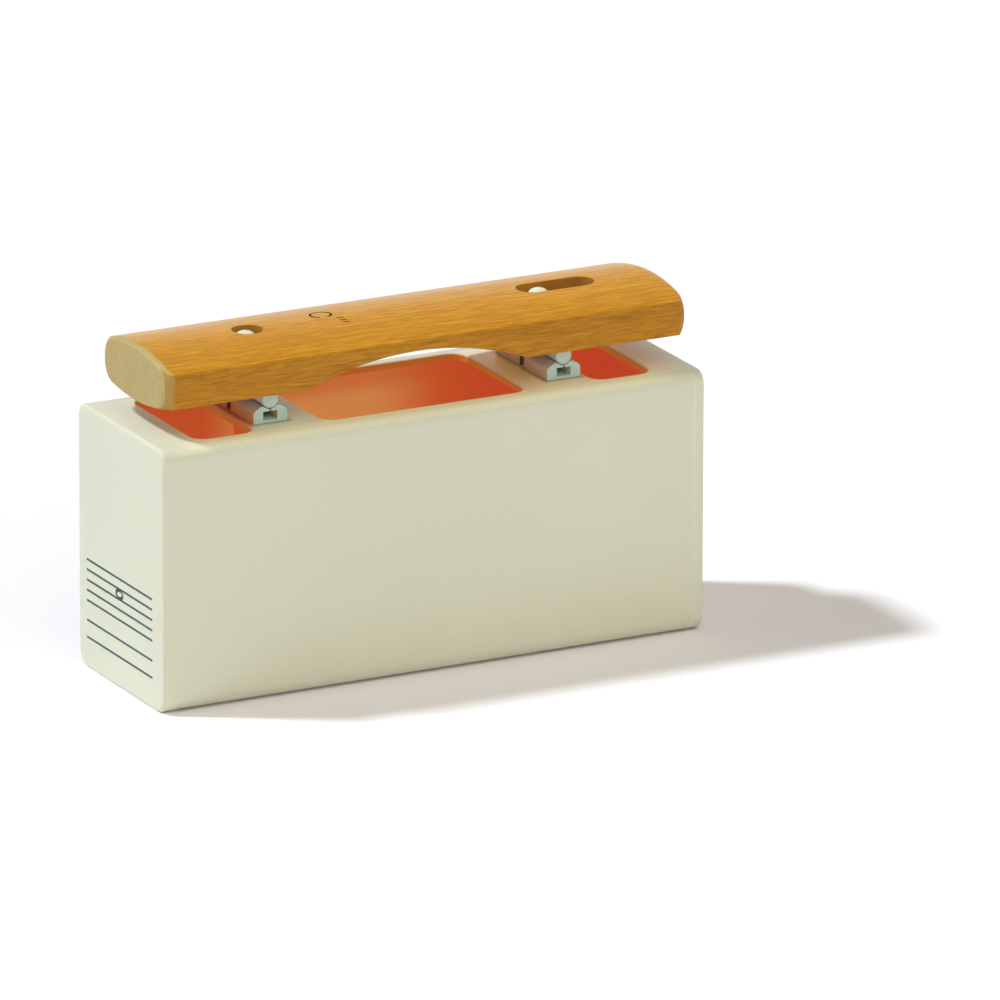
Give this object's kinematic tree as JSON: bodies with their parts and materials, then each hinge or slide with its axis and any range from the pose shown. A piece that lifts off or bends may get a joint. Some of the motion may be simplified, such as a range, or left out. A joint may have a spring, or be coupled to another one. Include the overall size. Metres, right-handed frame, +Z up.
{
  "type": "resonator bar",
  "caption": "Wooden tone bar with a crowned top and a tuned arch, resting on cushioned supports over a hollow box resonator with windows in its top; played with a mallet.",
  "frame": {"origin": "middle of the box's base, on the surface that it stands on", "axes": "+X along the tone bar towards the capped end, +Y towards the rear long side, +Z up"},
  "size_m": [0.203, 0.065, 0.1194],
  "materials": {
    "cream_plastic": "smooth cream moulding with a soft gloss",
    "pale_block": "matt pale grey-green extrusion",
    "cushion_rubber": "matt soft white",
    "pin_steel": "drawn bright wire",
    "sleeve_rubber": "matt white",
    "lacquered_wood": "satin clear lacquer over honey-coloured hardwood"
  },
  "bodies": {
    "resonator": {"resonator_box": "cream_plastic", "end_cap": "cream_plastic", "support_left_front": "pale_block", "support_left_rear": "pale_block", "support_right_front": "pale_block", "support_right_rear": "pale_block", "cushion_left_front": "cushion_rubber", "cushion_left_rear": "cushion_rubber", "cushion_right_front": "cushion_rubber", "cushion_right_rear": "cushion_rubber", "guide_pin_left": "pin_steel", "guide_pin_right": "pin_steel", "pin_sleeve_left": "sleeve_rubber", "pin_sleeve_right": "sleeve_rubber"},
    "bar": {"tone_bar": "lacquered_wood"}
  },
  "joints": [
    {"name": "bar_lift", "type": "slide", "parent": "resonator", "child": "bar", "axis": [0, 0, 1], "range_m": [0, 0.04]}
  ]
}
